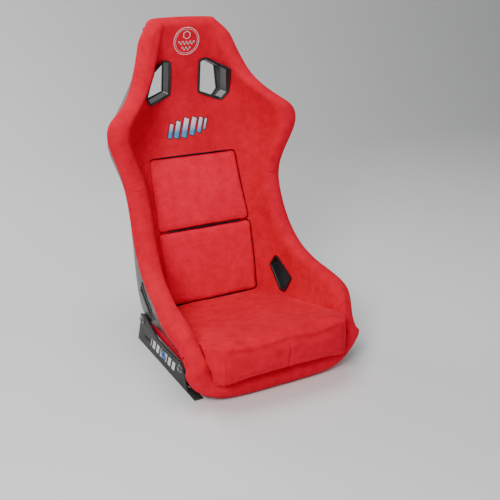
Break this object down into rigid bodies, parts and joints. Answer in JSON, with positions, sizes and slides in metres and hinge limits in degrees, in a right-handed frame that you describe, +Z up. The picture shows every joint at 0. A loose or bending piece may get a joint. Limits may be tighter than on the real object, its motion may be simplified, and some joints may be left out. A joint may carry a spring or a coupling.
{
  "type": "racing seat",
  "caption": "Fixed-back bucket racing seat: glass-fibre shell, suede-covered foam, back pads, deep seat cushion, harness slots and steel side brackets.",
  "frame": {"origin": "centre of the seat's box in plan, at the underside of the side brackets", "axes": "+Z up, the seat faces -Y, +X to the right of someone looking at the seat's front"},
  "size_m": [0.5738, 0.6775, 0.8933],
  "materials": {
    "gelcoat": "glossy grey-olive gelcoat with fine multicolour flakes over glass fibre",
    "suede": "red micro-suede over foam, short directional nap",
    "foam": "dark moulded foam under the pads",
    "black_plastic": "semi-gloss black moulded plastic",
    "black_steel": "black powder-coated steel",
    "zinc": "zinc-plated steel",
    "nylon": "black hook-and-loop tape",
    "thread_white": "white and grey embroidery thread",
    "thread_blue": "blue, white and pink embroidery thread with black edging"
  },
  "bodies": {
    "root": {"shell": "gelcoat", "headrest_cover": "suede", "front_lip_cover": "suede", "right_bolster_cover": "suede", "left_bolster_cover": "suede", "centre_foam": "foam", "upper_back_pad": "suede", "upper_back_pad_strip_right": "nylon", "upper_back_pad_strip_left": "nylon", "lower_back_pad": "suede", "lower_back_pad_strip_right": "nylon", "lower_back_pad_strip_left": "nylon", "seat_cushion": "suede", "front_pocket_right": "suede", "front_pocket_left": "suede", "headrest_emblem": "thread_white", "stripe_patch": "thread_blue", "shoulder_bezel_front_right": "black_plastic", "shoulder_bezel_rear_right": "black_plastic", "lap_bezel_inner_right": "black_plastic", "lap_bezel_outer_right": "black_plastic", "side_bracket_right": "black_steel", "rear_bolt_right": "zinc", "rear_washer_right": "zinc", "rear_spacer_right": "black_steel", "rear_insert_right": "zinc", "front_bolt_right": "zinc", "front_washer_right": "zinc", "front_spacer_right": "black_steel", "front_insert_right": "zinc", "shoulder_bezel_front_left": "black_plastic", "shoulder_bezel_rear_left": "black_plastic", "lap_bezel_inner_left": "black_plastic", "lap_bezel_outer_left": "black_plastic", "side_bracket_left": "black_steel", "rear_bolt_left": "zinc", "rear_washer_left": "zinc", "rear_spacer_left": "black_steel", "rear_insert_left": "zinc", "front_bolt_left": "zinc", "front_washer_left": "zinc", "front_spacer_left": "black_steel", "front_insert_left": "zinc"}
  },
  "joints": []
}
